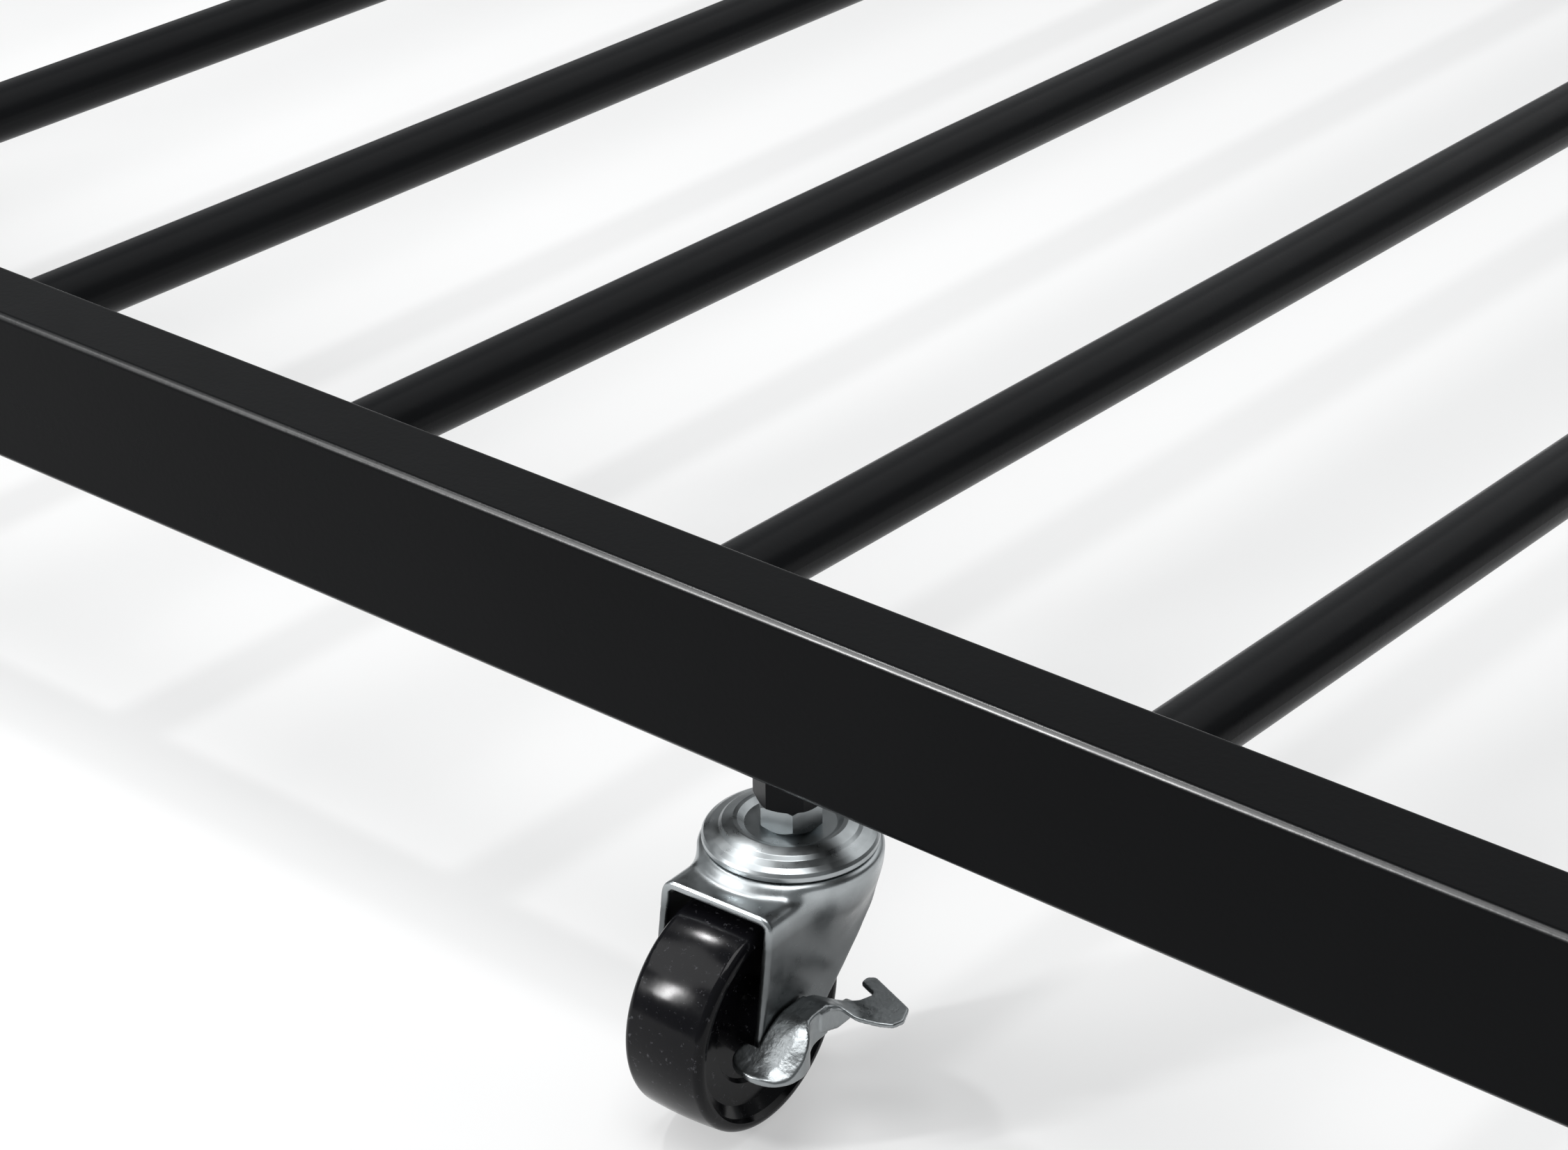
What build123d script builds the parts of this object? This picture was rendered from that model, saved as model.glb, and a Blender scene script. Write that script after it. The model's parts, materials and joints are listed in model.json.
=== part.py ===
from build123d import *
import os
from math import acos, atan2, cos, hypot, radians, sin

# Trundle bed: a low steel frame of rectangular rails and round slats on four swivel casters.
# Row frame, millimetres: origin on the floor below the middle of the bed, +X along the bed,
# -Y towards the front (the side that is pulled), +Z up.

# ---------------------------------------------------------------- driving dimensions, frame
rail_width = 20.0          # rectangular tube, across
rail_height = 40.0         # rectangular tube, up
rail_wall = 1.2
rail_corner = 1.8          # outside corner radius of the tube
frame_width = 965.0        # outside to outside of the side rails
slat_pitch = 114.6
end_bay = 128.0            # last slat to the middle of the end rail
slat_count = 15
slat_diameter = 16.0
slat_wall = 1.0
slat_hole_clearance = 0.1  # radial
caster_height = 74.5       # floor to the underside of the rails
caster_inset = 214.0       # frame end to the swivel axis
bolt_diameter = 6.0        # corner bolts
bolt_spread = 22.0         # distance between the two bolts of a corner
bolt_length = 28.0
bolt_head_diameter = 10.5
bolt_head_height = 3.3
bolt_socket = 4.0          # across flats
plate_thickness = 6.0      # threaded plates in the end rails
cap_flange = 2.0           # plastic end plugs
cap_depth = 6.0
weld_nut_flats = 14.0
weld_nut_height = 7.5

# ---------------------------------------------------------------- driving dimensions, caster
# Caster frame: swivel axis at the origin, z = 0 at the underside of the rail, -Y is the way the
# wheel trails, +X is the brake side.
caster_heading = 3.0       # degrees that the standing casters are turned about the swivel axis
wheel_radius = 25.0
wheel_width = 20.4
wheel_trail = 20.8         # swivel axis to wheel axis
hub_length = 24.2
hub_radius = 8.0
sleeve_radius = 4.0
sleeve_bore = 2.6
axle_radius = 2.5
axle_flats = 8.0           # hexagon of the axle bolt and nut
axle_nut_height = 2.7
stem_radius = 4.0
stem_top = 8.0             # how far the thread reaches above the underside of the rail
stem_hex_flats = 13.0
stem_hex_turn = 10.0       # degrees
kingpin_radius = 5.0
sheet = 2.0                # fork metal
leg_outside = 14.5         # swivel plane to the outer face of a leg
leg_end_radius = 9.4
crown_top = -20.0          # flat front of the crown
boss_top = -17.5           # round raised part of the crown
boss_radius = 20.0
lip_y = -26.0              # front edge of the crown
race_floor = -13.5         # where the hexagon stands in the raceway cap
race_radius = 19.0
race_rim_bottom = -17.2
ball_radius = 2.0
ball_circle = 14.6
ball_count = 16
lower_ball_radius = 1.5
lower_ball_circle = 9.0
lower_ball_count = 12
running_gap = 0.06         # balls to races, wheel to sleeve
pivot_gap = 0.08           # kingpin to fork, brake lever to axle
lever_sheet = 1.6
lever_inner = 14.8         # inner face of the lever's pivot plate
lever_outer = 21.4         # outer face of its side wall
lever_front_y = -28.2      # front of its cover
lever_back_y = -15.6       # where the cover's inner side ends
lever_roof = -42.9         # top of the cover
toe_bottom = -53.0         # underside of the toe pad
toe_centre = (18.3, -31.4)
toe_radius = 7.2
pedal_fall = 0.13          # how much the pedal drops outwards, per millimetre

# ---------------------------------------------------------------- worked-out dimensions
end_rail_x = (slat_count - 1) / 2 * slat_pitch + end_bay
frame_length = 2 * end_rail_x + rail_width
rail_axis_y = (frame_width - rail_width) / 2
rail_axis_z = caster_height + rail_height / 2
inner_face_y = frame_width / 2 - rail_width
end_rail_length = 2 * inner_face_y
slat_length = frame_width - 2 * rail_wall
caster_x = frame_length / 2 - caster_inset
axle_z = wheel_radius - caster_height
leg_inside = leg_outside - sheet
bore_width = rail_width - 2 * rail_wall
bore_height = rail_height - 2 * rail_wall
ball_z = race_floor - 3.35
lower_ball_z = boss_top - sheet - lower_ball_radius + 0.1

sides = {"front": -1, "back": 1}
ends = {"left": -1, "right": 1}


def about_x(radius, length, x=0.0, y=0.0, z=0.0):
    """Cylinder along X, centred on the point."""
    return Pos(x, y, z) * Rot(0, 90, 0) * Cylinder(radius, length)


def about_y(radius, length, x=0.0, y=0.0, z=0.0):
    """Cylinder along Y, centred on the point."""
    return Pos(x, y, z) * Rot(90, 0, 0) * Cylinder(radius, length)


def about_z(radius, z_low, z_high, x=0.0, y=0.0):
    """Cylinder along Z between two heights."""
    return Pos(x, y, (z_low + z_high) / 2) * Cylinder(radius, z_high - z_low)


def turned(points, rounding=0.0):
    """Ring or disc turned about Z from its (radius, z) outline."""
    outline = make_face(Polyline(*points, close=True))
    if rounding:
        outline = fillet(outline.vertices(), rounding)
    return revolve(Plane.XZ * outline, Axis.Z)


def tube_section():
    outer = RectangleRounded(rail_width, rail_height, rail_corner)
    inner = RectangleRounded(bore_width, bore_height, rail_corner - rail_wall)
    return outer - inner


def hexagon(flats, turn):
    return RegularPolygon(flats / 2, 6, major_radius=False, rotation=turn)


# ---------------------------------------------------------------- frame
def slat_positions():
    middle = (slat_count + 1) / 2
    return [(number - middle) * slat_pitch for number in range(1, slat_count + 1)]


def bolt_heights():
    return [rail_axis_z - bolt_spread / 2, rail_axis_z + bolt_spread / 2]


def side_rail(side):
    """Rail along X with slat holes in its inner wall and holes for the casters and bolts."""
    y = side * rail_axis_y
    inner_wall_y = side * (inner_face_y + rail_wall / 2)
    rail = Pos(0, y, rail_axis_z) * extrude(Plane.YZ * tube_section(), frame_length / 2, both=True)
    hole = slat_diameter / 2 + slat_hole_clearance
    cuts = [about_y(hole, 3 * rail_wall, x, inner_wall_y, rail_axis_z) for x in slat_positions()]
    for end in ends.values():
        for z in bolt_heights():
            cuts.append(about_y(bolt_diameter / 2 + 0.3, 2 * rail_width, end * end_rail_x, y, z))
        low = caster_height - 1
        cuts.append(about_z(stem_radius + 0.5, low, low + 2 + rail_wall, end * caster_x, y))
    return rail - cuts


def end_rail(end):
    section = Plane.XZ * tube_section()
    return Pos(end * end_rail_x, 0, rail_axis_z) * extrude(section, end_rail_length / 2, both=True)


def slat(x):
    ring = Circle(slat_diameter / 2) - Circle(slat_diameter / 2 - slat_wall)
    return Pos(x, 0, rail_axis_z) * extrude(Plane.XZ * ring, slat_length / 2, both=True)


def corner_bolt(x, side, z):
    """Button-head bolt pointing inwards from the outer face of a side rail."""
    face = frame_width / 2
    profile = Polyline((0, 0), (bolt_head_diameter / 2, 0), (bolt_head_diameter / 2, 0.8))
    crown = ThreePointArc((bolt_head_diameter / 2, 0.8), (3.9, 2.6), (2.6, bolt_head_height))
    top = Polyline((2.6, bolt_head_height), (0, bolt_head_height), (0, 0))
    head = revolve(Plane.XZ * make_face(profile + crown + top), Axis.Z)
    socket = extrude(Pos(0, 0, 1.3) * hexagon(bolt_socket, 0), bolt_head_height)
    shank = about_z(bolt_diameter / 2, -bolt_length, 0)
    shank = chamfer(shank.edges().group_by(Axis.Z)[0], 0.8)
    bolt = (head - socket) + shank
    return Pos(x, side * face, z) * Rot(-90 * side, 0, 0) * bolt


def corner_plate(end, side):
    """Threaded plate welded in the mouth of an end rail."""
    fit = 0.1
    section = RectangleRounded(bore_width - 2 * fit, bore_height - 2 * fit, rail_corner - rail_wall)
    plate = extrude(Plane.XZ * section, plate_thickness / 2, both=True)
    y = side * (inner_face_y - plate_thickness / 2)
    plate = Pos(end * end_rail_x, y, rail_axis_z) * plate
    holes = [about_y(bolt_diameter / 2 + 0.02, 20, end * end_rail_x, y, z) for z in bolt_heights()]
    return plate - holes


def rail_cap(end, side):
    """Plastic plug in the open end of a side rail, with a domed flange."""
    fit = 0.1
    flange = extrude(Plane.YZ * RectangleRounded(rail_width, rail_height, rail_corner), cap_flange)
    flange = fillet(flange.faces().sort_by(Axis.X)[-1].edges(), 1.2)
    outside = RectangleRounded(bore_width - 2 * fit, bore_height - 2 * fit, rail_corner - rail_wall)
    skirt = outside - RectangleRounded(bore_width - 4, bore_height - 4, 0.5)
    plug = flange + extrude(Plane.YZ * skirt, -cap_depth)
    turn = 0 if end > 0 else 180
    return Pos(end * frame_length / 2, side * rail_axis_y, rail_axis_z) * Rot(0, 0, turn) * plug


def weld_nut(x, y):
    """Hexagon weld nut standing on the underside of a side rail, one corner facing outwards."""
    blank = extrude(hexagon(weld_nut_flats, 30), -weld_nut_height)
    corner = weld_nut_flats / 2 / cos(radians(30))
    lathe = [(0, 0), (corner, 0), (corner, -weld_nut_height + 0.7),
             (corner - 1.2, -weld_nut_height), (0, -weld_nut_height)]
    blank = blank & turned(lathe)
    bore = about_z(stem_radius + 0.02, -weld_nut_height - 1, 1)
    return Pos(x, y, caster_height) * (blank - bore)


# ---------------------------------------------------------------- caster, in its own frame
def stem():
    """Threaded stem, hexagon collar, kingpin and the swaged head below the lower raceway."""
    hex_top = -weld_nut_height
    head_z = lower_ball_z - 2.6
    corner = stem_hex_flats / 2 / cos(radians(30))
    collar = extrude(Pos(0, 0, race_floor) * hexagon(stem_hex_flats, stem_hex_turn), hex_top - race_floor)
    lathe = [(0, race_floor), (corner - 1.5, race_floor), (corner, race_floor + 1.5),
             (corner, hex_top - 0.3), (corner - 0.5, hex_top), (0, hex_top)]
    collar = collar & turned(lathe)
    spindle = [(0, stem_top), (stem_radius - 0.8, stem_top), (stem_radius, stem_top - 0.8),
               (stem_radius, race_floor + 3), (kingpin_radius, race_floor + 3),
               (kingpin_radius, head_z), (kingpin_radius + 1.8, head_z),
               (kingpin_radius + 1.4, head_z - 0.9), (kingpin_radius - 0.6, head_z - 1.4),
               (0, head_z - 1.4)]
    return collar + turned(spindle)


def raceway_cap():
    """Dished pressing that the hexagon stands in; its rolled rim covers the balls."""
    top = [(kingpin_radius + 0.02, race_floor), (9.8, race_floor), (11.2, race_floor + 1.1),
           (12.7, race_floor + 1.0), (17.4, race_floor - 0.9), (race_radius, race_floor - 2.2),
           (race_radius, race_rim_bottom)]
    under = [(race_radius - 1.4, race_rim_bottom), (race_radius - 1.4, race_floor - 2.6),
             (16.8, race_floor - 2.2), (12.5, race_floor - 0.5), (11.6, race_floor - 0.4),
             (10.2, race_floor - 1.5), (kingpin_radius + 0.02, race_floor - 1.5)]
    return turned(top + under, 0.25) - ball_groove(ball_circle, ball_z, ball_radius)


def ball_ring(count, circle, radius, z):
    ball = Pos(circle, 0, z) * Sphere(radius)
    return [Rot(0, 0, 360 * number / count) * ball for number in range(count)]


def ball_groove(circle, z, radius):
    """Ring-shaped cut that a row of balls runs in."""
    return revolve(Plane.XZ * Pos(circle, z) * Circle(radius + running_gap), Axis.Z)


def swivel_balls():
    upper = ball_ring(ball_count, ball_circle, ball_radius, ball_z)
    lower = ball_ring(lower_ball_count, lower_ball_circle, lower_ball_radius, lower_ball_z)
    return Compound(children=upper + lower)


def lower_race():
    """Washer with a ball groove, held up by the swaged head of the kingpin."""
    top = lower_ball_z - lower_ball_radius + 0.4
    ring = about_z(11.6, lower_ball_z - 2.6, top) - about_z(kingpin_radius + 0.02, -40, 0)
    return ring - ball_groove(lower_ball_circle, lower_ball_z, lower_ball_radius)


def leg_outline():
    """Side view of the fork in the YZ plane: crown, slanted legs, round end about the axle."""
    axle = (-wheel_trail, axle_z)
    front_top = (lip_y, crown_top - 2.0)
    rear_knee = (4.4, -39.0)
    front_touch = tangent_point(front_top, axle, leg_end_radius, -1)
    rear_touch = tangent_point(rear_knee, axle, leg_end_radius, 1)
    bottom = (axle[0], axle[1] - leg_end_radius)
    edges = Polyline((lip_y, boss_top + 1), front_top, front_touch)
    edges += ThreePointArc(front_touch, bottom, rear_touch)
    edges += Line(rear_touch, rear_knee)
    skirt = (16.0, -25.0)
    behind = boss_radius + 1
    above = boss_top + 1
    edges += ThreePointArc(rear_knee, (11.2, -31.0), skirt)
    edges += Polyline(skirt, (behind, -22.5), (behind, above), (lip_y, above))
    return make_face(edges)


def tangent_point(point, centre, radius, side):
    """Where the line from a point touches a circle, on the chosen side."""
    dx, dy = point[0] - centre[0], point[1] - centre[1]
    reach = hypot(dx, dy)
    angle = atan2(dy, dx) - side * acos(radius / reach)
    return (centre[0] + radius * cos(angle), centre[1] + radius * sin(angle))


def fork_envelope(offset):
    """Solid that the fork's sheet is wrapped on; the inner one is offset by the sheet."""
    half = leg_outside - offset
    roof = crown_top - offset
    round_top = boss_top - offset
    radius = boss_radius - offset
    rear = 12 if offset == 0 else 30
    box = Pos(0, rear, roof) * Box(2 * half, 80, 50, align=(Align.CENTER, Align.MAX, Align.MAX))
    box = fillet(box.edges().filter_by(Axis.Y).group_by(Axis.Z)[-1], 3.2 - offset)
    boss = about_z(radius, -24, round_top)
    boss = fillet(boss.edges().group_by(Axis.Z)[-1], 1.8 if offset == 0 else 0.6)
    shoulder = Pos(0, 0, -29) * Cone(half - 0.01, radius, 10)
    return box + boss + shoulder


def fork():
    skin = fork_envelope(0) - fork_envelope(sheet)
    yoke = skin & extrude(Plane.YZ * leg_outline(), 30, both=True)
    bead = about_z(ball_circle + 2.6, boss_top - sheet - 1.3, boss_top - 0.5)
    bead -= about_z(ball_circle - 2.6, boss_top - sheet - 2, boss_top)
    yoke += bead
    yoke -= ball_groove(ball_circle, ball_z, ball_radius)
    yoke -= ball_groove(lower_ball_circle, lower_ball_z, lower_ball_radius)
    yoke -= about_z(kingpin_radius + pivot_gap, -30, -10)
    yoke -= about_x(axle_radius + 0.05, 60, 0, -wheel_trail, axle_z)
    return yoke


def wheel():
    """Moulded wheel, turned about the axle: crowned tread, dished sides and a hub."""
    half = wheel_width / 2
    side = [(hub_length / 2, sleeve_radius + running_gap), (hub_length / 2, hub_radius - 0.8),
            (hub_length / 2 - 0.8, hub_radius), (half - 4.2, hub_radius + 0.6), (half - 4.2, 13.6),
            (half - 3.2, 14.4), (half - 3.2, 19.4), (half - 1.2, 21.6), (half, 22.2), (half, 22.8)]
    shoulder = (half - 2.0, wheel_radius - 0.35)
    right = Polyline(*side) + ThreePointArc(side[-1], (half - 0.55, wheel_radius - 0.95), shoulder)
    tread = ThreePointArc(shoulder, (0, wheel_radius), (-shoulder[0], shoulder[1]))
    mirrored = [(-x, r) for x, r in side]
    left = Polyline(*mirrored) + ThreePointArc(mirrored[-1], (0.55 - half, wheel_radius - 0.95),
                                               (-shoulder[0], shoulder[1]))
    section = make_face(right + tread + left + Line(side[0], mirrored[0]))
    body = revolve(section, Axis.X)
    return Pos(0, -wheel_trail, axle_z) * body


def axle_sleeve():
    ring = about_x(sleeve_radius, 2 * leg_inside) - about_x(sleeve_bore, 2 * leg_inside + 2)
    return Pos(0, -wheel_trail, axle_z) * ring


def axle_bolt(reach):
    """Hexagon bolt with its head on the -X leg; reach is where its end is."""
    height = 3.5
    corner = axle_flats / 2 / cos(radians(30))
    head = extrude(Plane.YZ * hexagon(axle_flats, 0), -height)
    lathe = about_x(corner, height, -height / 2)
    lathe = chamfer(lathe.edges().group_by(Axis.X)[0], 0.5)
    shank = about_x(axle_radius, reach + leg_outside, (reach + leg_outside) / 2)
    shank = chamfer(shank.edges().group_by(Axis.X)[-1], 0.5)
    return Pos(-leg_outside, -wheel_trail, axle_z) * ((head & lathe) + shank)


def axle_nut(face):
    """Thin nut on the axle bolt, against the face given."""
    corner = axle_flats / 2 / cos(radians(30))
    blank = extrude(Plane.YZ * hexagon(axle_flats, 12), axle_nut_height)
    lathe = about_x(corner, axle_nut_height, axle_nut_height / 2)
    lathe = chamfer(lathe.edges().group_by(Axis.X)[-1], 0.5)
    nut = (blank & lathe) - about_x(axle_radius + 0.02, 12)
    return Pos(face, -wheel_trail, axle_z) * nut


def toe_pad():
    """Round pad in front of the axle that locks the wheel; it clears the end of the leg."""
    pad = about_z(toe_radius, toe_bottom, toe_bottom + lever_sheet, *toe_centre)
    pad = fillet(pad.edges().group_by(Axis.Z)[0], 0.6)
    return pad - Pos(lever_inner - 5, lever_front_y - 3.3 + 10, toe_bottom) * Box(10, 20, 10)


def tail_pedal():
    """Fish-tail pedal behind the axle that releases the wheel."""
    points = [(16.4, -18.6), (20.1, -15.4), (24.6, -14.2), (29.3, -12.8), (33.6, -10.4),
              (35.0, -7.4), (33.4, -3.2), (21.2, 2.1), (19.2, 0.9), (19.6, -1.0), (24.0, -3.3),
              (23.2, -8.6), (21.4, -11.6), (16.4, -13.6)]
    outline = make_face(Polyline(*points, close=True))
    outline = fillet(outline.vertices(), 0.9)
    slope = Plane(origin=(18, -16.6, lever_roof - lever_sheet), x_dir=(1, 0, -pedal_fall),
                  z_dir=(pedal_fall, 0, 1))
    return slope * Pos(-18, 16.6, 0) * extrude(outline, lever_sheet)


def lever_cover():
    """Thimble-shaped cover over the end of the axle: round front wall, roof and two sides."""
    front = (18.1, lever_front_y)
    sides_y = lever_front_y + 2.0
    outline = Polyline((lever_inner, sides_y), (lever_inner, lever_back_y),
                       (lever_outer, lever_back_y), (lever_outer, sides_y))
    outline += ThreePointArc((lever_outer, sides_y), front, (lever_inner, sides_y))
    outline = make_face(outline)
    height = lever_roof - toe_bottom
    shell = Pos(0, 0, toe_bottom) * extrude(outline, height)
    shell = fillet(shell.edges().group_by(Axis.Z)[-1].sort_by(Axis.Y)[:1], 2.0)
    core = offset(outline, -lever_sheet, kind=Kind.INTERSECTION)
    core = Pos(0, 0, toe_bottom - 1) * extrude(core, height - lever_sheet + 1)
    middle = (lever_inner + lever_outer) / 2
    width = lever_outer - lever_inner - 2 * lever_sheet
    behind = Box(width, 6, height - lever_sheet + 1, align=(Align.CENTER, Align.CENTER, Align.MIN))
    return shell - core - Pos(middle, lever_back_y, toe_bottom - 1) * behind


def lever_wing():
    """Side wall carried on behind the cover, under the pedal, with a round lower corner."""
    points = [(lever_back_y - 1, toe_bottom), (lever_back_y - 1, lever_roof - 0.4),
              (-10.0, lever_roof - 0.4), (-6.2, -47.4), (-6.2, -51.6), (-9.0, -53.4)]
    wall = make_face(Polyline(*points, close=True))
    wall = fillet(wall.vertices().group_by(Axis.X)[-1], 1.2)
    return Pos(lever_outer - lever_sheet, 0, 0) * extrude(Plane.YZ * wall, lever_sheet)


def brake_lever():
    """Pressed lever that rocks on the axle, beside the +X leg."""
    lever = lever_cover() + lever_wing() + toe_pad() + tail_pedal()
    lever -= about_x(axle_radius + pivot_gap, 6, lever_inner, -wheel_trail, axle_z)
    room = lever_outer - lever_inner - 2 * lever_sheet
    return lever - about_x(5.0, room, (lever_inner + lever_outer) / 2, -wheel_trail, axle_z)


# ---------------------------------------------------------------- everything in its place
def caster_place(side, end):
    turn = caster_heading + (0 if side < 0 else 180)
    return Pos(end * caster_x, side * rail_axis_y, caster_height) * Rot(0, 0, turn)


def frame_parts():
    parts = {}
    for side_name, side in sides.items():
        parts["side_rail_" + side_name] = side_rail(side)
    for end_name, end in ends.items():
        parts["end_rail_" + end_name] = end_rail(end)
    for number, x in enumerate(slat_positions(), 1):
        parts[f"slat_{number:02d}"] = slat(x)
    corners = [(end, side) for end in ends.values() for side in sides.values()]
    parts["corner_bolts"] = Compound(children=[
        corner_bolt(end * end_rail_x, side, z) for end, side in corners for z in bolt_heights()])
    parts["corner_plates"] = Compound(children=[corner_plate(*corner) for corner in corners])
    parts["rail_caps"] = Compound(children=[rail_cap(*corner) for corner in corners])
    parts["weld_nuts"] = Compound(children=[
        weld_nut(end * caster_x, side * rail_axis_y) for end, side in corners])
    parts["lower_races"] = Compound(children=[
        caster_place(side, end) * lower_race() for end, side in corners])
    return parts


def caster_parts():
    parts = {}
    for side_name, side in sides.items():
        braked = side < 0
        seat = lever_inner + lever_sheet + 0.1 if braked else leg_outside
        pieces = {"stem": stem(), "raceway": raceway_cap(), "swivel_balls": swivel_balls(),
                  "fork": fork(), "wheel": wheel(), "axle_sleeve": axle_sleeve(),
                  "axle_bolt": axle_bolt(seat + axle_nut_height + 0.2), "axle_nut": axle_nut(seat)}
        if braked:
            pieces["brake_lever"] = brake_lever()
        for end_name, end in ends.items():
            for name, piece in pieces.items():
                parts[f"{name}_{side_name}_{end_name}"] = caster_place(side, end) * piece
    return parts


def main():
    os.makedirs("parts", exist_ok=True)
    for name, part in {**frame_parts(), **caster_parts()}.items():
        export_step(part, f"parts/{name}.step")


main()
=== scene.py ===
import json
import math

import bpy
import numpy as np
from mathutils import Matrix, Vector


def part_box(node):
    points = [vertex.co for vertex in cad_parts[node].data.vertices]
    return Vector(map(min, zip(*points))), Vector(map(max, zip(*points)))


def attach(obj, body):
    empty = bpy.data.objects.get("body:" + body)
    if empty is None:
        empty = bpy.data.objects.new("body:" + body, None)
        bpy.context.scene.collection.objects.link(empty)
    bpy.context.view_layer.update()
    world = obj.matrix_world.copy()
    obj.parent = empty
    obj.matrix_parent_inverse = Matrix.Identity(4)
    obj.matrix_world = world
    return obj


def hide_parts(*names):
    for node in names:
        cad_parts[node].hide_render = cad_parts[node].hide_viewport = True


# A steel trundle bed. The rails, slats, wheels, stems and bolts are the CAD nodes with richer finishes. The
# three pressed caster parts (fork, raceway cap, brake lever) are fine meshes that stand for their CAD nodes.

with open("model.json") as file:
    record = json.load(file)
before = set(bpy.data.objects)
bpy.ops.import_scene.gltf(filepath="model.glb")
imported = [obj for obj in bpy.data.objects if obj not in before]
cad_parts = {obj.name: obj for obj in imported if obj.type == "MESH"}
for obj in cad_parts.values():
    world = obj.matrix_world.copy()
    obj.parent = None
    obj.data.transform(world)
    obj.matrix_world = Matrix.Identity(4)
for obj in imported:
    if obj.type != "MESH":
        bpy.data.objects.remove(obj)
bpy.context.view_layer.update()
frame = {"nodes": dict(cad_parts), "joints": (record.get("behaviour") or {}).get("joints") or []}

MM = 0.001

# ---------------------------------------------------------------- sizes, caster frame, millimetres
# Swivel axis at the origin, z = 0 under the rail, -Y the trailing way, +X the brake side.
# Fork.
SHEET = 2.0
LEG_OUTSIDE = 14.5
LEG_END = 9.4
LIP_Y = -26.0
CROWN_TOP = -20.0
CROWN_REAR = 12.0
CROWN_REAR_EDGE = 4.0
BEND = 3.2
BOSS_TOP = -17.5
BOSS_RADIUS = 20.0
BOSS_EDGE = 1.8
BOSS_BLEND = 3.0
SHOULDER_TOP = -24.0
SHOULDER_SLOPE = 0.55
HAUNCH = ((4.4, -39.0), (12.4, -28.8), (21.0, -22.5))   # rear edge as (y, z): start, pull, end
FORK_EDGE = 0.7
KINGPIN_HOLE = 5.08
BALL_CIRCLE = 14.6
BALL_GROOVE = 2.06
BALL_Z = -16.85
LOWER_BALL_CIRCLE = 9.0
LOWER_BALL_GROOVE = 1.56
LOWER_BALL_Z = -20.9
AXLE_HOLE = 2.55
RIM_RADIUS = 19.0               # of the raceway cap

# Brake lever.
LEVER_SHEET = 1.6
PEDAL_SHEET = 1.1
LEVER_INNER = 14.8
LEVER_OUTER = 21.4
LEVER_ROOF = -42.9
LEVER_BACK_Y = -15.6
ROOF_START_Y = -22.5            # where the roof begins to fall to the toe
ROOF_LENGTH = 15.5
ROOF_FALL = 7.5
ROOF_CAMBER = 0.008
TOE_X = 17.8
TOE_BOTTOM = -52.0
WALL_RISE_Y = -26.0             # where the lower edge begins to rise behind the toe
WALL_RISE_LENGTH = 7.0
WALL_RISE = 1.9
PEDAL_START = (20.0, -17.0)     # from here the pedal falls away outwards and to the back
PEDAL_REACH = 9.0
PEDAL_DROP = 2.9
WING_FRONT_Y = -18.8
WING_PROUD = 0.4
LEG_SLANT = (0.98, -0.19)       # normal of the fork leg's front edge, as (ahead, above)
LEG_CLEARANCE = 0.5
PIVOT_EYE = 5.4
PIVOT_PLAY = 0.03
PIVOT_DEPTH = 3.0
NUT_ROOM = 5.0
FINE_EDGE, EDGE, SOFT_EDGE = 0.2, 0.3, 0.5


# ---------------------------------------------------------------- distance fields
# A solid is a function that is negative inside it, in millimetres.
def joined(a, b, blend):
    """Both solids, with a fillet where they meet."""
    share = np.clip(0.5 + 0.5 * (b - a) / blend, 0, 1)
    return b + (a - b) * share - blend * share * (1 - share)


def common(a, b, blend):
    """What is in both solids, with the edge rounded."""
    return -joined(-a, -b, blend)


def cut(a, b, blend):
    """The first solid without the second."""
    return common(a, -b, blend)


def corner(a, b, radius):
    """Two half-spaces that meet in a round edge."""
    a, b = a + radius, b + radius
    return np.minimum(np.maximum(a, b), 0) + np.hypot(np.maximum(a, 0), np.maximum(b, 0)) - radius


def sheet_of(solid, thickness):
    """Sheet just under the skin of a solid."""
    return np.abs(solid + thickness / 2) - thickness / 2


def slab(value, low, high):
    """Everything between two parallel planes."""
    return np.maximum(low - value, value - high)


def curve(start, via, end, steps):
    """Points along the curve that leaves start towards via and comes into end from there."""
    start, via, end = Vector(start), Vector(via), Vector(end)
    return [tuple((1 - t) ** 2 * start + 2 * t * (1 - t) * via + t * t * end)
            for t in (step / steps for step in range(steps + 1))]


def softened(points, radius, steps=5):
    """The closed outline with its corners turned into curves."""
    made = []
    for number, point in enumerate(points):
        here = Vector(point)
        before = Vector(points[number - 1]) - here
        after = Vector(points[(number + 1) % len(points)]) - here
        reach = radius / math.tan(max(before.angle(after) / 2, 0.1))
        made += curve(here + before * min(reach / before.length, 0.45), here,
                      here + after * min(reach / after.length, 0.45), steps)
    return made


def outline(points, u, v):
    """Flat figure with these corners, in the plane of the coordinates u and v."""
    u, v = np.broadcast_arrays(u, v)
    nearest = np.full(u.shape, 1e9)
    inside = np.zeros(u.shape, bool)
    for (u0, v0), (u1, v1) in zip(points, points[1:] + points[:1]):
        du, dv = u1 - u0, v1 - v0
        along = np.clip(((u - u0) * du + (v - v0) * dv) / (du * du + dv * dv), 0, 1)
        nearest = np.minimum(nearest, np.hypot(u - u0 - along * du, v - v0 - along * dv))
        if v0 != v1:
            inside ^= ((v0 <= v) != (v1 <= v)) & (u < u0 + (v - v0) * du / dv)
    return np.where(inside, -nearest, nearest)


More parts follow.
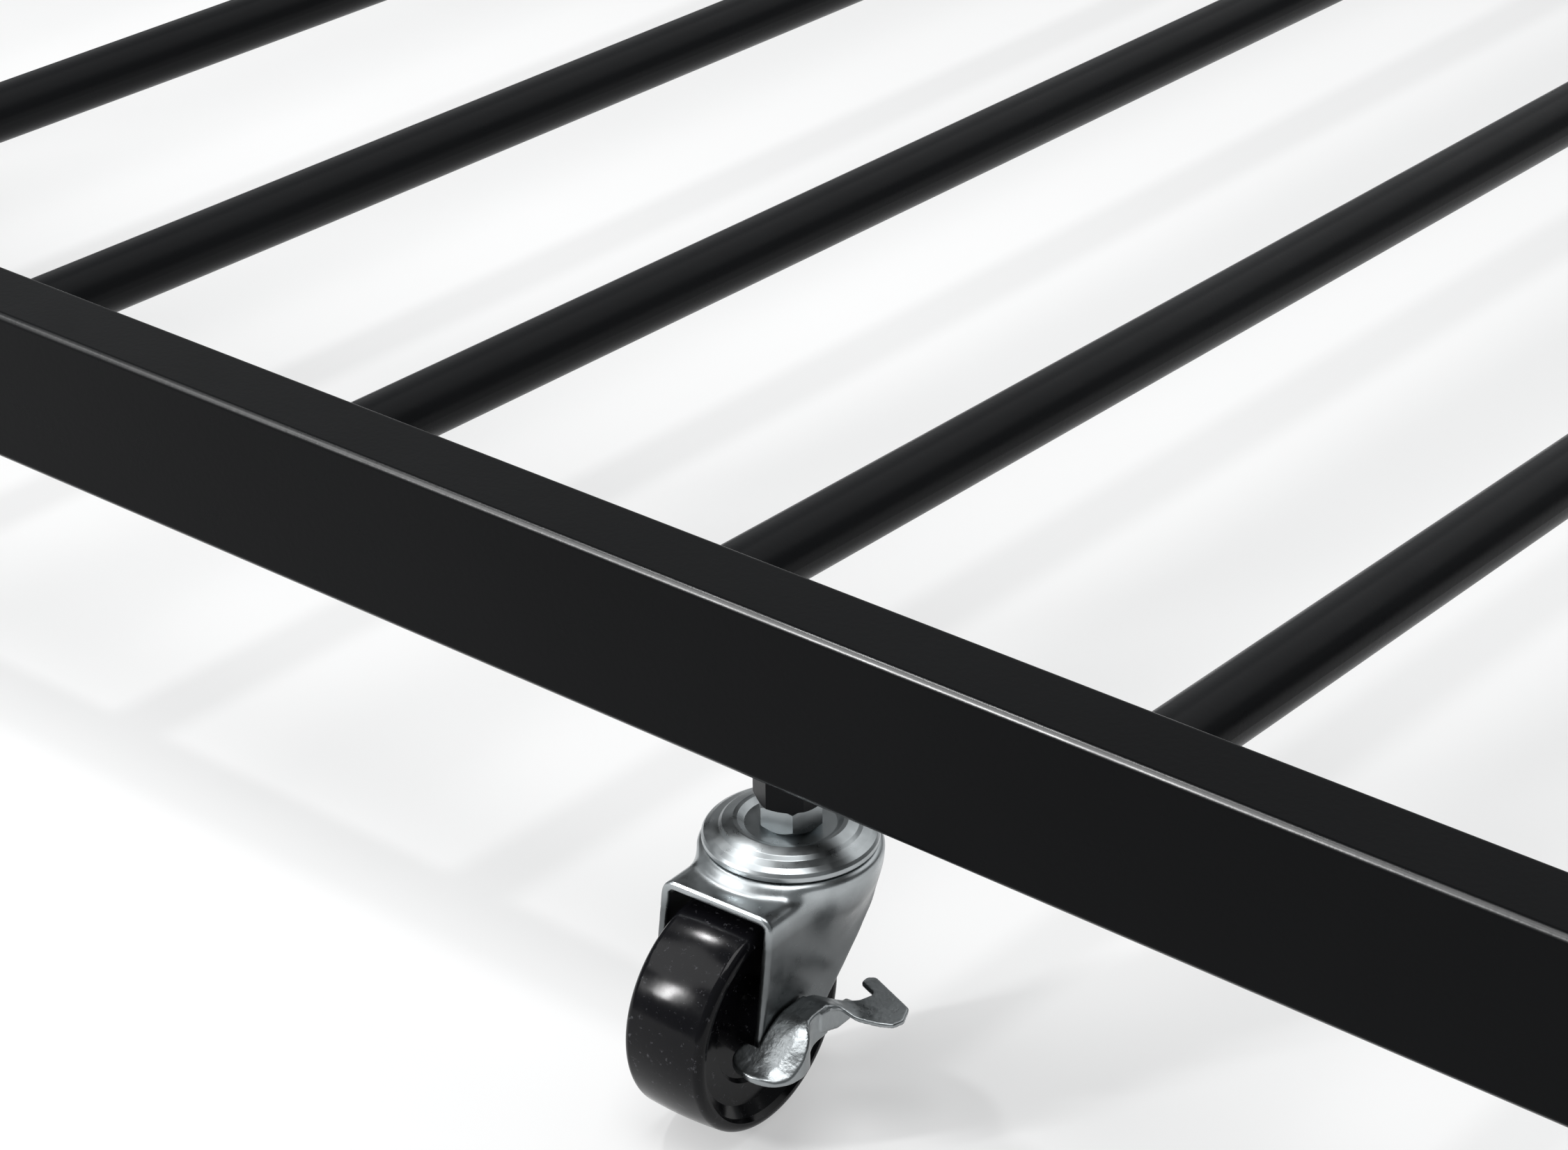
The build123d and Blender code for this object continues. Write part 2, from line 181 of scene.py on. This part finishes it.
def net_faces(inside, index):
    """Quads across every grid edge that passes through the skin, facing outwards."""
    faces = []
    for axis in range(3):
        order = (axis, (axis + 1) % 3, (axis + 2) % 3)
        solid = np.transpose(inside, order)
        cell = np.transpose(index, order)
        i, j, k = np.nonzero(solid[:-1, 1:-1, 1:-1] != solid[1:, 1:-1, 1:-1])
        j, k = j + 1, k + 1
        quads = np.stack([cell[i, j - 1, k - 1], cell[i, j, k - 1], cell[i, j, k], cell[i, j - 1, k]], 1)
        inward = ~solid[i, j, k]
        quads[inward] = quads[inward, ::-1]
        faces.append(quads)
    return np.concatenate(faces)


def skin(solid, low, high, step, rounds=4):
    """Quad mesh of a solid's skin: one corner in each grid cell that it crosses, then pulled onto it."""
    sides = [np.arange(a, b + step, step) for a, b in zip(low, high)]
    inside = np.broadcast_to(solid(*np.meshgrid(*sides, indexing="ij", sparse=True)) < 0,
                             [len(side) for side in sides])
    wide, deep, tall = (len(side) - 1 for side in sides)
    count = sum(inside[i:wide + i, j:deep + j, k:tall + k].astype(int)
                for i in (0, 1) for j in (0, 1) for k in (0, 1))
    mixed = (count > 0) & (count < 8)
    index = np.full(mixed.shape, -1)
    index[mixed] = np.arange(mixed.sum())
    points = np.array(low) + (np.argwhere(mixed) + 0.5) * step
    faces = net_faces(inside, index)
    for _ in range(rounds):
        points = onto_skin(solid, relaxed(points, faces))
    return onto_skin(solid, points), faces


def relaxed(points, faces):
    """Each corner moved to the middle of the faces around it."""
    total, count = np.zeros_like(points), np.zeros(len(points))
    middle = points[faces].mean(1)
    for column in faces.T:
        np.add.at(total, column, middle)
        np.add.at(count, column, 1)
    return total / count[:, None]


def onto_skin(solid, points, reach=0.05):
    """Each point moved along the field's slope to where the field is zero."""
    here = solid(*points.T)
    slope = np.stack([solid(*(points + reach * step).T) - here for step in np.eye(3)], 1) / reach
    size = np.maximum((slope ** 2).sum(1), 0.25)
    return points - (here / size)[:, None] * slope


def mesh_of(name, points, faces, material):
    """Smooth-shaded mesh from arrays of corners and faces."""
    mesh = bpy.data.meshes.new(name)
    mesh.from_pydata(points.tolist(), [], faces.tolist())
    mesh.polygons.foreach_set("use_smooth", [True] * len(mesh.polygons))
    mesh.materials.append(material)
    mesh.update()
    return mesh


# ---------------------------------------------------------------- caster solids
def fork_outline(trail, axle_z):
    """Side view of the fork: lip, slanted legs and a round end about the axle."""
    above = BOSS_TOP + 1
    lip = (LIP_Y, CROWN_TOP - SHEET)
    front = tangent(lip, (-trail, axle_z), LEG_END, -1)
    rear = tangent(HAUNCH[0], (-trail, axle_z), LEG_END, 1)
    start = math.atan2(front[1] - axle_z, front[0] + trail)
    turn = (math.atan2(rear[1] - axle_z, rear[0] + trail) - start) % math.tau
    angles = [start + turn * part / 16 for part in range(17)]
    end = [(-trail + LEG_END * math.cos(angle), axle_z + LEG_END * math.sin(angle)) for angle in angles]
    return [(LIP_Y, above), lip] + end + curve(*HAUNCH, 14) + [(HAUNCH[2][0], above)]


def tangent(point, centre, radius, side):
    """Where the line from a point touches a circle, on the chosen side."""
    dx, dy = point[0] - centre[0], point[1] - centre[1]
    angle = math.atan2(dy, dx) - side * math.acos(radius / math.hypot(dx, dy))
    return centre[0] + radius * math.cos(angle), centre[1] + radius * math.sin(angle)


def fork_solid(trail, axle_z):
    """Pressed yoke: flat crown and legs that flow into the drawn round boss."""
    side_view = fork_outline(trail, axle_z)

    def solid(x, y, z):
        turn = np.hypot(x, y)
        yoke = corner(np.abs(x) - LEG_OUTSIDE, z - CROWN_TOP, BEND)
        yoke = common(yoke, y - CROWN_REAR, CROWN_REAR_EDGE)
        boss = corner(turn - BOSS_RADIUS, z - BOSS_TOP, BOSS_EDGE)
        taper = turn - BOSS_RADIUS + SHOULDER_SLOPE * (SHOULDER_TOP - z)
        boss = common(boss, taper / math.hypot(1, SHOULDER_SLOPE), BOSS_BLEND)
        pressing = sheet_of(joined(yoke, boss, BOSS_BLEND), SHEET)
        pressing = common(pressing, outline(side_view, y, z), FORK_EDGE)
        pressing = cut(pressing, np.hypot(turn - BALL_CIRCLE, z - BALL_Z) - BALL_GROOVE, FINE_EDGE)
        lower = np.hypot(turn - LOWER_BALL_CIRCLE, z - LOWER_BALL_Z) - LOWER_BALL_GROOVE
        pressing = cut(pressing, lower, FINE_EDGE)
        pressing = cut(pressing, turn - KINGPIN_HOLE, EDGE)
        return cut(pressing, np.hypot(y + trail, z - axle_z) - AXLE_HOLE, EDGE)

    return solid


def smooth_step(value):
    """Runs from 0 to 1 with no kink at either end."""
    value = np.clip(value, 0, 1)
    return value * value * (3 - 2 * value)


def lever_top(x, y):
    """Height of the lever's upper skin: flat at the neck, lower at the toe in front and the pedal behind."""
    forward = smooth_step((ROOF_START_Y - y) / ROOF_LENGTH)
    outwards, backwards = np.maximum(x - PEDAL_START[0], 0), np.maximum(y - PEDAL_START[1], 0)
    behind = smooth_step(np.hypot(outwards, backwards) / PEDAL_REACH)
    fall = ROOF_FALL + ROOF_CAMBER * (x - TOE_X) ** 2
    return LEVER_ROOF - fall * forward - PEDAL_DROP * behind


def lever_cover(x, y, z):
    """Scoop over the end of the axle: a roof that falls to the toe's rim, open below and behind."""
    plan = softened([(LEVER_INNER, -12), (LEVER_OUTER, -12), (LEVER_OUTER, ROOF_START_Y), (24.4, -26.0),
                     (25.3, -29.5), (24.8, -33.4), (22.2, -36.7), (17.6, -37.8), (12.8, -36.6),
                     (10.4, -34.8), (10.3, -32.4), (LEVER_INNER, -28.4)], 6.0)
    roof_tilt = 0.85                # brings the falling roof's field nearer to a true distance
    scoop = common(outline(plan, x, y), (z - lever_top(x, y)) * roof_tilt, 0.4)
    lower_edge = TOE_BOTTOM + WALL_RISE * smooth_step((y - WALL_RISE_Y) / WALL_RISE_LENGTH)
    cover = common(sheet_of(scoop, LEVER_SHEET), lower_edge - z, SOFT_EDGE)
    return common(cover, y - LEVER_BACK_Y, SOFT_EDGE)


def lever_wing(x, y, z):
    """Upright plate below the neck, in line with the cover's outer wall."""
    side_view = softened([(WING_FRONT_Y, -48.3), (WING_FRONT_Y, LEVER_ROOF), (-12.0, LEVER_ROOF),
                          (-6.2, -47.3), (-6.3, -48.8), (-8.5, -50.4), (-12.5, -50.4)], 1.6)
    wing = slab(x, LEVER_OUTER - LEVER_SHEET, LEVER_OUTER + WING_PROUD)
    wing = common(wing, outline(side_view, y, z), EDGE)
    return common(wing, z - lever_top(x, y) + 0.4, EDGE)


def lever_pedal(x, y, z):
    """Neck and fish-tail pedal, a plate that follows the lever's top."""
    plan = softened([(15.6, -18.8), (18.4, -18.4), (21.9, -15.5), (22.3, -13.0), (26.0, -12.9),
                     (31.5, -11.6), (34.2, -10.2), (35.0, -7.6), (33.2, -3.2), (20.8, 2.2),
                     (19.2, 1.0), (19.3, -1.2), (24.2, -3.3), (22.9, -6.9), (20.1, -9.3),
                     (15.6, -12.8)], 1.2)
    top = lever_top(x, y)
    return common(slab(z, top - PEDAL_SHEET, top), outline(plan, x, y), 0.4)


def lever_solid(trail, axle_z):
    """Pressed brake lever: toe pad and cover, side wing, pedal, and an eye that turns on the axle."""
    def solid(x, y, z):
        lever = np.minimum(np.minimum(lever_cover(x, y, z), lever_wing(x, y, z)), lever_pedal(x, y, z))
        ahead, above = -(y + trail), z - axle_z
        swept_leg = LEG_SLANT[0] * ahead + LEG_SLANT[1] * above - LEG_END - LEG_CLEARANCE
        lever = cut(lever, np.maximum(x - LEVER_INNER, swept_leg), EDGE)
        axle = np.hypot(ahead, above)
        pivot_wall = LEVER_INNER + LEVER_SHEET
        eye = common(slab(x, LEVER_INNER, pivot_wall), axle - PIVOT_EYE, FINE_EDGE)
        bore = np.maximum(axle - AXLE_HOLE - PIVOT_PLAY, x - LEVER_INNER - PIVOT_DEPTH)
        lever = cut(np.minimum(lever, eye), bore, FINE_EDGE)
        room = np.maximum(axle - NUT_ROOM, slab(x, pivot_wall, LEVER_OUTER - LEVER_SHEET))
        return cut(lever, room, FINE_EDGE)

    return solid


def raceway_profile():
    """Section of the dished cap as (radius, height): floor, ridge, stepped slope and rolled rim."""
    above = [(5.04, -13.5), (9.9, -13.5), (11.3, -12.5), (12.3, -12.35), (14.6, -13.1), (15.4, -13.9),
             (17.3, -14.5), (18.5, -15.2), (RIM_RADIUS, -15.9), (RIM_RADIUS, -17.2)]
    below = [(17.7, -17.2), (17.6, -16.2), (16.9, -15.6), (16.0, -14.95), (15.2, -14.6), (14.2, -14.45),
             (12.5, -13.85), (11.6, -13.85), (10.2, -15.0), (5.04, -15.0)]
    return softened(above + below, 0.45, 4)


def turned(name, profile, segments, material):
    """Closed section turned about Z."""
    count = len(profile)
    angles = [math.tau * number / segments for number in range(segments)]
    points = np.array([(r * math.cos(a), r * math.sin(a), z) for a in angles for r, z in profile])
    faces = [(s * count + p, (s + 1) % segments * count + p, (s + 1) % segments * count + (p + 1) % count,
              s * count + (p + 1) % count) for s in range(segments) for p in range(count)]
    return mesh_of(name, points, np.array(faces)[:, ::-1], material)


# ---------------------------------------------------------------- node helpers
class Shader:
    """A node material. Its helpers return the socket that they make."""

    def __init__(self, name):
        self.material = bpy.data.materials.new(name)
        self.material.use_nodes = True
        self.nodes = self.material.node_tree.nodes
        self.links = self.material.node_tree.links
        self.surface = self.nodes["Principled BSDF"]
        self.place = self.nodes.new("ShaderNodeTexCoord").outputs["Object"]

    def set(self, **values):
        for socket, value in values.items():
            self.surface.inputs[socket.replace("_", " ")].default_value = value

    def link(self, source, socket):
        self.links.new(source, self.surface.inputs[socket])

    def node(self, kind, **inputs):
        made = self.nodes.new("ShaderNode" + kind)
        for name, value in inputs.items():
            socket = made.inputs[name.replace("_", " ")]
            if isinstance(value, bpy.types.NodeSocket):
                self.links.new(value, socket)
            else:
                socket.default_value = value
        return made

    def noise(self, scale, detail=3.0, roughness=0.5):
        made = self.node("TexNoise", Vector=self.place, Scale=scale, Detail=detail, Roughness=roughness)
        return made.outputs["Fac"]

    def ramp(self, factor, *stops):
        """Colour ramp through (position, colour) stops."""
        made = self.node("ValToRGB", Fac=factor)
        elements = made.color_ramp.elements
        while len(elements) < len(stops):
            elements.new(1.0)
        for element, (position, colour) in zip(elements, stops):
            element.position = position
            element.color = (*colour, 1)
        return made.outputs["Color"]

    def spread(self, factor, low, high, start=0.3, end=0.7):
        """A factor between start and end stretched to run from low to high."""
        made = self.node("MapRange", Value=factor)
        for name, value in zip(("From Min", "From Max", "To Min", "To Max"), (start, end, low, high)):
            made.inputs[name].default_value = value
        return made.outputs["Result"]

    def corners(self):
        """0 where the surface faces along an object axis, 0.5 half-way between two of them."""
        square = self.nodes.new("ShaderNodeVectorMath")
        square.operation = "MULTIPLY"
        fourth = self.nodes.new("ShaderNodeVectorMath")
        fourth.operation = "DOT_PRODUCT"
        normal = self.place.node.outputs["Normal"]
        for socket in (0, 1):
            self.links.new(normal, square.inputs[socket])
            self.links.new(square.outputs["Vector"], fourth.inputs[socket])
        made = self.nodes.new("ShaderNodeMath")
        made.operation = "SUBTRACT"
        made.inputs[0].default_value = 1.0
        self.links.new(fourth.outputs["Value"], made.inputs[1])
        return made.outputs["Value"]

    def product(self, first, second):
        """Two colours multiplied."""
        made = self.nodes.new("ShaderNodeMix")
        made.data_type, made.blend_type = "RGBA", "MULTIPLY"
        made.inputs[0].default_value = 1.0
        self.links.new(first, made.inputs[6])
        self.links.new(second, made.inputs[7])
        return made.outputs[2]

    def bump(self, height, strength, distance):
        made = self.node("Bump", Height=height, Strength=strength, Distance=distance)
        self.link(made.outputs["Normal"], "Normal")


def grey(value, tint=(1, 1, 1)):
    """A neutral colour, or one that leans towards the tint."""
    return tuple(value * part for part in tint)


# ---------------------------------------------------------------- materials
FORK_PAINTED_SHADE_HEIGHTS = -0.027, -0.0205     # metres, caster frame: zinc darkened by painted shade below the first, full tone above
RAIL_TONE, RAIL_GLOSS, RUBBED_GLOSS = 0.0034, 0.045, 1.0
# Painted light: the slats' and weld nuts' coat is the rails' powder coat made lighter.
TUBE_PAINTED_LIGHT_TONE, TUBE_GLOSS = 0.0060, 0.075
# Painted shade: the fork's legs and the whole lever get darker copies of the same zinc.
FORK_PAINTED_SHADE_TONE, LEVER_PAINTED_SHADE_TONE = 0.34, 0.68
LEVER_RIPPLE = 430.0, 0.45


def powder_coat(name, tone, gloss, rubbed_gloss):
    """Satin black powder coat with orange peel. Corners between two flats are rubbed to more gloss."""
    shader = Shader(name)
    shader.link(shader.ramp(shader.noise(9.0, 4.0), (0.3, grey(tone, (0.92, 0.96, 1.08))),
                            (0.7, grey(1.35 * tone, (0.95, 1.0, 1.1)))), "Base Color")
    shader.link(shader.spread(shader.noise(60.0, 5.0), 0.26, 0.33), "Roughness")
    shader.link(shader.spread(shader.corners(), gloss, rubbed_gloss, 0.12, 0.5), "Specular IOR Level")
    shader.bump(shader.noise(700.0, 2.0), 0.12, 0.0002)
    return shader.material


def zinc_plate(name, painted_shade_tone=1.0, ripple=(160.0, 0.06)):
    """Bright zinc on pressed steel: clouded and rippled. Below the fork's crown it is darkened to
    painted_shade_tone, which is painted shade.
    """
    shader = Shader(name)
    cloud = shader.noise(120.0, 5.0, 0.6)
    light, dark = (0.45, 0.478, 0.49), (0.36, 0.384, 0.394)
    tone = shader.ramp(cloud, (0.3, dark), (0.72, light))
    # Painted shade: below the crown the zinc is darkened, standing for the dark surroundings that the fork's
    # legs reflect.
    height = shader.node("SeparateXYZ", Vector=shader.place).outputs["Z"]
    painted_shade = shader.ramp(shader.spread(height, 0, 1, *FORK_PAINTED_SHADE_HEIGHTS),
                       (0.0, grey(painted_shade_tone)), (1.0, grey(1.0)))
    shader.link(shader.product(tone, painted_shade), "Base Color")
    shader.link(shader.spread(shader.noise(260.0, 5.0), 0.25, 0.38), "Roughness")
    shader.set(Metallic=1.0)
    scale, strength = ripple
    shader.bump(shader.noise(scale, 3.0), strength, 0.0004)
    return shader.material


def wheel_plastic():
    """Glossy black moulded plastic with dull scuffs and pale nicks."""
    shader = Shader("wheel_plastic")
    nicks = shader.noise(620.0, 6.0, 0.75)
    shader.link(shader.ramp(nicks, (0.60, (0.004, 0.004, 0.005)), (0.74, (0.10, 0.10, 0.11))),
                "Base Color")
    shader.link(shader.spread(shader.noise(200.0, 5.0), 0.11, 0.19), "Roughness")
    shader.set(Specular_IOR_Level=0.15)
    shader.bump(shader.noise(110.0, 3.0), 0.10, 0.0004)
    return shader.material


def steel(name, tone, roughness):
    """Bare or blackened steel with a fine mottle."""
    shader = Shader(name)
    shader.link(shader.ramp(shader.noise(300.0, 4.0), (0.3, grey(0.8 * tone)), (0.7, grey(1.15 * tone))),
                "Base Color")
    shader.link(shader.spread(shader.noise(600.0), roughness - 0.06, roughness + 0.06), "Roughness")
    shader.set(Metallic=1.0)
    return shader.material


def plug_plastic():
    """Black moulded plastic with a fine grain."""
    shader = Shader("plug_plastic")
    shader.link(shader.ramp(shader.noise(400.0), (0.3, grey(0.010)), (0.7, grey(0.016))), "Base Color")
    shader.link(shader.spread(shader.noise(200.0), 0.45, 0.58), "Roughness")
    shader.set(Specular_IOR_Level=0.3)
    shader.bump(shader.noise(2500.0), 0.25, 0.0001)
    return shader.material


rail_paint = powder_coat("rail_paint", RAIL_TONE, RAIL_GLOSS, RUBBED_GLOSS)
# Painted light: slats and nuts get a lighter copy of the rails' powder coat.
tube_paint = powder_coat("tube_paint", TUBE_PAINTED_LIGHT_TONE, TUBE_GLOSS, TUBE_GLOSS)
zinc = zinc_plate("zinc_plate")
fork_zinc = zinc_plate("zinc_fork", FORK_PAINTED_SHADE_TONE)
# The whole lever sits below the crown, so its zinc is darkened throughout: painted shade that tones down its
# lamp highlights.
lever_zinc = zinc_plate("zinc_lever", LEVER_PAINTED_SHADE_TONE, LEVER_RIPPLE)
plastic = wheel_plastic()
finishes = {
    "side_rail": rail_paint, "end_rail": rail_paint, "slat": tube_paint, "weld_nuts": tube_paint,
    "corner_plates": steel("plain_steel", 0.35, 0.4), "corner_bolts": steel("black_bolt", 0.03, 0.4),
    "rail_caps": plug_plastic(), "swivel_balls": steel("ball_steel", 0.62, 0.12),
    "wheel": plastic, "stem": zinc, "raceway": zinc, "lower_races": zinc, "fork": zinc,
    "axle": zinc, "brake_lever": zinc,
}


def finish_cad_nodes():
    """Give every CAD node the material that its name asks for."""
    for name, node in frame["nodes"].items():
        kind = next(start for start in finishes if name.startswith(start))
        node.data.materials.clear()
        node.data.materials.append(finishes[kind])


# ---------------------------------------------------------------- pressed caster parts in place
def joint(name):
    return next(found for found in frame["joints"] if found["name"] == name)


def caster_frame(place):
    """Where a caster's own frame stands: on its swivel axis, X along its wheel's axle."""
    across = Vector(joint("roll_" + place)["axis"]).normalized()
    up = Vector((0, 0, 1))
    turn = Matrix((across, up.cross(across), up)).transposed()
    return Matrix.Translation(joint("swivel_" + place)["pos_m"]) @ turn.to_4x4()


def put(name, mesh, place, body, node):
    """Stand a mesh at one caster, riding the body and taking the place of the CAD node."""
    made = bpy.data.objects.new(name, mesh)
    bpy.context.scene.collection.objects.link(made)
    made.matrix_world = caster_frame(place)
    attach(made, body)
    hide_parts(node)


def pressed_parts():
    """The fork, the raceway cap and the brake lever, at every caster that has one."""
    axle = caster_frame("front_right").inverted() @ Vector(joint("roll_front_right")["pos_m"]) / MM
    trail, axle_z = -axle.y, axle.z
    points, faces = skin(fork_solid(trail, axle_z), (-22, -32, -60), (22, 22, -15), 0.6)
    fork = mesh_of("pressed_fork", points * MM, faces, fork_zinc)
    points, faces = skin(lever_solid(trail, axle_z), (9, -40, -55), (37, 4, -40), 0.4)
    lever = mesh_of("pressed_lever", points * MM, faces, lever_zinc)
    cap = turned("pressed_raceway", [(r * MM, z * MM) for r, z in raceway_profile()], 96, zinc)
    for place in ("front_left", "front_right", "back_left", "back_right"):
        put("yoke_" + place, fork, place, "caster_" + place, "fork_" + place)
        put("cap_" + place, cap, place, "frame", "raceway_" + place)
        if place.startswith("front"):
            put("pedal_" + place, lever, place, "brake_" + place, "brake_lever_" + place)


# ---------------------------------------------------------------- floor, lights, camera
def floor():
    """Pale floor that glows a little, so that it comes out near white."""
    mesh = bpy.data.meshes.new("floor")
    half = 6.0
    mesh.from_pydata([(-half, -half, 0), (half, -half, 0), (half, half, 0), (-half, half, 0)], [],
                     [(0, 1, 2, 3)])
    made = bpy.data.objects.new("floor", mesh)
    bpy.context.scene.collection.objects.link(made)
    shader = Shader("floor")
    shader.link(shader.ramp(shader.noise(3.0), (0.2, grey(0.43)), (0.8, grey(0.46))), "Base Color")
    shader.set(Roughness=0.9, Specular_IOR_Level=0.1, Emission_Color=(1, 1, 1, 1), Emission_Strength=0.43)
    mesh.materials.append(shader.material)


def softbox(name, target, direction, distance, size, power):
    """Rectangular light that faces the target."""
    light = bpy.data.lights.new(name, "AREA")
    light.shape = "RECTANGLE"
    light.size, light.size_y = size
    light.energy = power
    made = bpy.data.objects.new(name, light)
    towards = Vector(direction).normalized()
    made.location = target + distance * towards
    made.rotation_euler = towards.to_track_quat("Z", "Y").to_euler()
    bpy.context.scene.collection.objects.link(made)


# Name, direction from the caster, distance, size in metres, power in watts.
SOFTBOXES = (
    ("strip", (-0.50, -0.76, 0.413), 2.4, (0.10, 0.50), 30),
    ("key", (-0.52, -0.45, 0.72), 2.4, (1.3, 1.3), 14),
    ("left", (-0.52, 0.04, 0.854), 2.6, (0.16, 0.16), 14),
    ("overhead", (0.08, -0.15, 0.98), 2.2, (1.2, 1.2), 24),
    ("fill", (0.15, 0.67, 0.72), 3.5, (3.0, 3.0), 28),
    ("back", (-0.55, 0.69, 0.40), 2.5, (2.2, 1.8), 4),
)


def lights():
    """A pale surrounding and the soft boxes, all facing the front right caster."""
    world = bpy.data.worlds.new("studio")
    bpy.context.scene.world = world
    world.use_nodes = True
    sky = world.node_tree.nodes["Background"].inputs
    sky["Color"].default_value = (0.94, 0.98, 1.0, 1)
    sky["Strength"].default_value = 0.25
    target = Vector(joint("swivel_front_right")["pos_m"])
    for name, direction, distance, size, power in SOFTBOXES:
        softbox(name, target, direction, distance, size, power)


def camera():
    """Looks down on the front rail above the right front caster, as a long lens would."""
    azimuth, fall, roll = math.radians(40.32), math.radians(27.95), math.radians(-0.53)
    distance = 0.8005
    pivot = Vector(joint("swivel_front_right")["pos_m"])
    target = Vector((pivot.x - 0.0071, pivot.y + 0.0069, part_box("side_rail_front")[1].z))
    back = Vector((math.sin(azimuth) * math.cos(fall), -math.cos(azimuth) * math.cos(fall),
                   math.sin(fall)))
    made = bpy.data.objects.new("camera", bpy.data.cameras.new("camera"))
    made.data.sensor_width, made.data.lens = 36.0, 88.90
    made.data.clip_start, made.data.clip_end = 0.01, 50
    turn = (-back).to_track_quat("-Z", "Y").to_matrix() @ Matrix.Rotation(roll, 3, "Z")
    made.matrix_world = Matrix.Translation(target + distance * back) @ turn.to_4x4()
    bpy.context.scene.collection.objects.link(made)
    bpy.context.scene.camera = made


finish_cad_nodes()
pressed_parts()
floor()
lights()
camera()
bpy.context.scene.view_settings.view_transform = "Standard"
